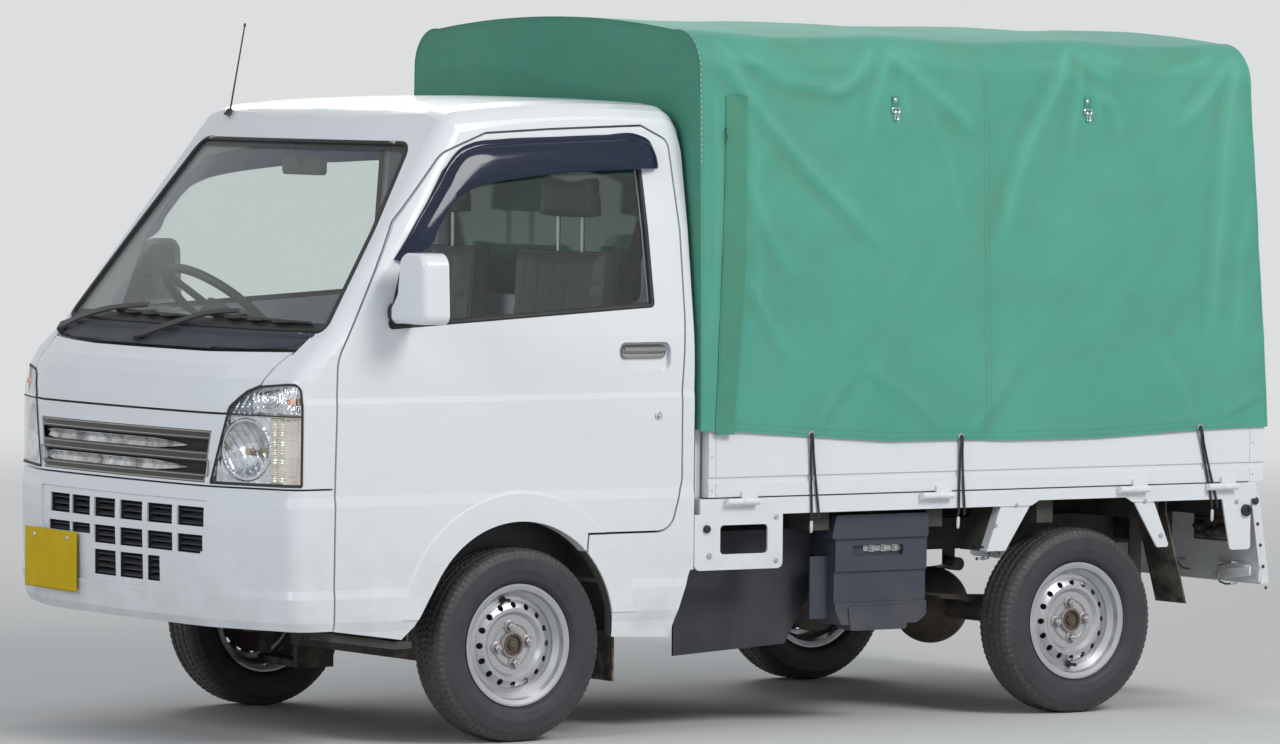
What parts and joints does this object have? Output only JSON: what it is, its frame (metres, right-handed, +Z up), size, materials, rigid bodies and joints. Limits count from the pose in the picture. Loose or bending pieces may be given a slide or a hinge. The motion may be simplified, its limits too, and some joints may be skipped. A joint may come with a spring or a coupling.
{
  "type": "kei truck",
  "caption": "Cab-over kei truck with a canvas canopy, drop-side bed, opening doors, hood and gates, and steered front wheels.",
  "frame": {"origin": "on the road under the middle of the truck's own box, tailgate hanging and mirrors counted", "axes": "+X to the rear, +Y to the truck's own right, +Z up; the front faces -X"},
  "size_m": [3.4519, 1.7355, 1.9658],
  "materials": {
    "black_plastic": "moulded black plastic",
    "canvas_green": "coated green canvas",
    "dark_chrome": "smoked chrome",
    "galvanised": "zinc-coated tube",
    "glass": "clear laminated glass",
    "grey_plastic": "dark grey moulded plastic",
    "interior_grey": "grey moulded trim",
    "lamp_clear": "clear lamp lens",
    "lamp_red": "red lamp lens",
    "rubber": "black rubber",
    "rust_steel": "heat-browned steel",
    "seat_vinyl": "grey vinyl",
    "steel_black": "black chassis paint",
    "steel_grey": "dull cast metal",
    "tyre": "worn road rubber",
    "wheel_silver": "silver wheel enamel",
    "white_paint": "gloss white enamel"
  },
  "bodies": {
    "root": {"battery_box": "grey_plastic", "bed_floor": "white_paint", "bed_side_rails": "white_paint", "cab_body": "white_paint", "cab_floor": "white_paint", "canopy_cover": "canvas_green", "canopy_frame": "galvanised", "canopy_rear_roll": "canvas_green", "canopy_skirt_left": "canvas_green", "canopy_skirt_right": "canvas_green", "cowl_panel": "black_plastic", "dashboard": "interior_grey", "engine_block": "steel_grey", "exhaust_muffler": "rust_steel", "front_bumper": "white_paint", "front_guard": "white_paint", "front_lower_arms": "steel_black", "front_panel": "white_paint", "fuel_tank": "black_plastic", "headlights": "lamp_clear", "ladder_frame": "steel_black", "leaf_springs": "steel_black", "mud_flaps": "rubber", "propeller_shaft": "steel_black", "radiator": "black_plastic", "radiator_grille": "dark_chrome", "rear_axle": "steel_grey", "rear_beam": "white_paint", "rear_window": "glass", "seats": "seat_vinyl", "splash_panel": "grey_plastic", "tail_lamps": "lamp_red", "windshield": "glass"},
    "steer_knuckle_left": {"knuckle_left": "steel_grey"},
    "steer_knuckle_right": {"knuckle_right": "steel_grey"},
    "wheel_front_left": {"rim_front_left": "wheel_silver", "tyre_front_left": "tyre"},
    "wheel_front_right": {"rim_front_right": "wheel_silver", "tyre_front_right": "tyre"},
    "wheel_rear_left": {"rim_rear_left": "wheel_silver", "tyre_rear_left": "tyre"},
    "wheel_rear_right": {"rim_rear_right": "wheel_silver", "tyre_rear_right": "tyre"},
    "steering": {"steering_wheel": "black_plastic"},
    "cab_door_left": {"door_left": "white_paint", "door_glass_left": "glass", "mirror_left": "white_paint"},
    "cab_door_right": {"door_right": "white_paint", "door_glass_right": "glass", "mirror_right": "white_paint"},
    "hood": {"front_hood": "white_paint"},
    "side_gate_left": {"gate_left": "white_paint"},
    "side_gate_right": {"gate_right": "white_paint"},
    "rear_gate": {"tailgate": "white_paint"}
  },
  "joints": [
    {"name": "steer_left", "type": "hinge", "parent": "root", "child": "steer_knuckle_left", "pos_m": [-0.88164, -0.57588, 0.16], "axis": [0, 0.2415, 0.9704], "range_deg": [-33, 33]},
    {"name": "steer_right", "type": "hinge", "parent": "root", "child": "steer_knuckle_right", "pos_m": [-0.88164, 0.64812, 0.16], "axis": [0, -0.2415, 0.9704], "range_deg": [-33, 33]},
    {"name": "steering_column_turn", "type": "hinge", "parent": "root", "child": "steering", "pos_m": [-1.20364, 0.35812, 1.14], "axis": [0.6428, 0, 0.766], "range_deg": [-500, 500]},
    {"name": "roll_front_left", "type": "hinge", "parent": "steer_knuckle_left", "child": "wheel_front_left", "pos_m": [-0.88164, -0.61638, 0.263], "axis": [0, 1, 0], "continuous": true},
    {"name": "roll_front_right", "type": "hinge", "parent": "steer_knuckle_right", "child": "wheel_front_right", "pos_m": [-0.88164, 0.68862, 0.263], "axis": [0, 1, 0], "continuous": true},
    {"name": "roll_rear_left", "type": "hinge", "parent": "root", "child": "wheel_rear_left", "pos_m": [1.02336, -0.60888, 0.263], "axis": [0, 1, 0], "continuous": true},
    {"name": "roll_rear_right", "type": "hinge", "parent": "root", "child": "wheel_rear_right", "pos_m": [1.02336, 0.68112, 0.263], "axis": [0, 1, 0], "continuous": true},
    {"name": "door_left_swing", "type": "hinge", "parent": "root", "child": "cab_door_left", "pos_m": [-1.47464, -0.69688, 0.7], "axis": [0, 0, -1], "range_deg": [0, 65]},
    {"name": "door_right_swing", "type": "hinge", "parent": "root", "child": "cab_door_right", "pos_m": [-1.47464, 0.76912, 0.7], "axis": [0, 0, 1], "range_deg": [0, 65]},
    {"name": "hood_lift", "type": "hinge", "parent": "root", "child": "hood", "pos_m": [-1.55664, 0.03612, 1.11], "axis": [0, 1, 0], "range_deg": [0, 50]},
    {"name": "gate_left_drop", "type": "hinge", "parent": "root", "child": "side_gate_left", "pos_m": [0.69536, -0.71388, 0.635], "axis": [1, 0, 0], "range_deg": [0, 178], "deforming": ["canopy_skirt_left"]},
    {"name": "gate_right_drop", "type": "hinge", "parent": "root", "child": "side_gate_right", "pos_m": [0.69536, 0.78612, 0.635], "axis": [-1, 0, 0], "range_deg": [0, 178], "deforming": ["canopy_skirt_right"]},
    {"name": "tailgate_drop", "type": "hinge", "parent": "root", "child": "rear_gate", "pos_m": [1.66536, 0.03612, 0.64], "axis": [0, -1, 0], "range_deg": [0, 171]}
  ],
  "couplings": [
    {"joint": "steer_right", "follows": "steer_left", "ratio": 1},
    {"joint": "steering_column_turn", "follows": "steer_left", "ratio": 15}
  ]
}
